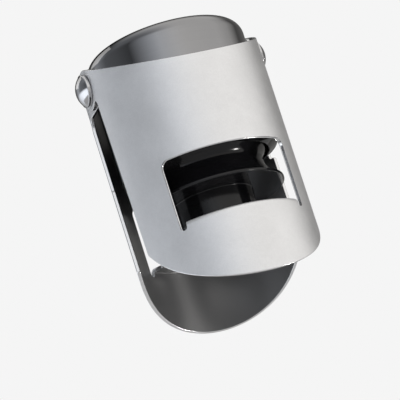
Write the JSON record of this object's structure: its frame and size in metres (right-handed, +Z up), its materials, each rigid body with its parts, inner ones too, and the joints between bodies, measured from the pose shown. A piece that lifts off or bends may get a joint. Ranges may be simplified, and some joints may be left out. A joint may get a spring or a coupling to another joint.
{
  "type": "champagne stopper",
  "caption": "Sprung stopper for a sparkling wine neck, with a rubber seal under a steel cap and a pair of hinged wings that grip under the neck's ring.",
  "frame": {"origin": "centre of the seal's flat face, where it meets the mouth of the neck", "axes": "+Z up the stopper's axis towards the cap, -Y towards the front wing, X along the wings' pivot line"},
  "size_m": [0.0402, 0.0364, 0.0551],
  "materials": {
    "wing_brushed": "satin brushed sheet",
    "cap_polished": "mirror polished",
    "rivet_polished": "polished",
    "housing_black": "glossy moulded",
    "seal_rubber": "smooth, slightly glossy",
    "inner_plastic": "matte moulded",
    "fastener_steel": "plain bright",
    "spring_steel": "drawn wire",
    "bush_nylon": "natural nylon"
  },
  "bodies": {
    "core": {"mouth_seal": "seal_rubber", "plunger": "inner_plastic", "seal_washer": "fastener_steel", "seal_screw": "fastener_steel", "stem_clip": "fastener_steel", "compression_spring": "spring_steel"},
    "cap": {"cap_shell": "cap_polished", "housing": "housing_black", "guide_bush": "bush_nylon", "spring_seat": "fastener_steel", "pivot_rivet_right": "rivet_polished", "pivot_rivet_left": "rivet_polished", "inner_washer_right": "bush_nylon", "inner_washer_left": "bush_nylon", "middle_washer_right": "bush_nylon", "middle_washer_left": "bush_nylon"},
    "front_wing": {"front_wing": "wing_brushed"},
    "rear_wing": {"rear_wing": "wing_brushed"}
  },
  "joints": [
    {"name": "cap_press", "type": "slide", "parent": "core", "child": "cap", "axis": [0, 0, -1], "range_m": [0, 0.003], "stiffness_N_per_m": 2000, "springref_m": -0.003, "deforming": ["compression_spring"]},
    {"name": "front_wing_swing", "type": "hinge", "parent": "cap", "child": "front_wing", "pos_m": [0, 0, 0.0274], "axis": [-1, 0, 0], "range_deg": [0, 55]},
    {"name": "rear_wing_swing", "type": "hinge", "parent": "cap", "child": "rear_wing", "pos_m": [0, 0, 0.0274], "axis": [1, 0, 0], "range_deg": [0, 55]}
  ]
}
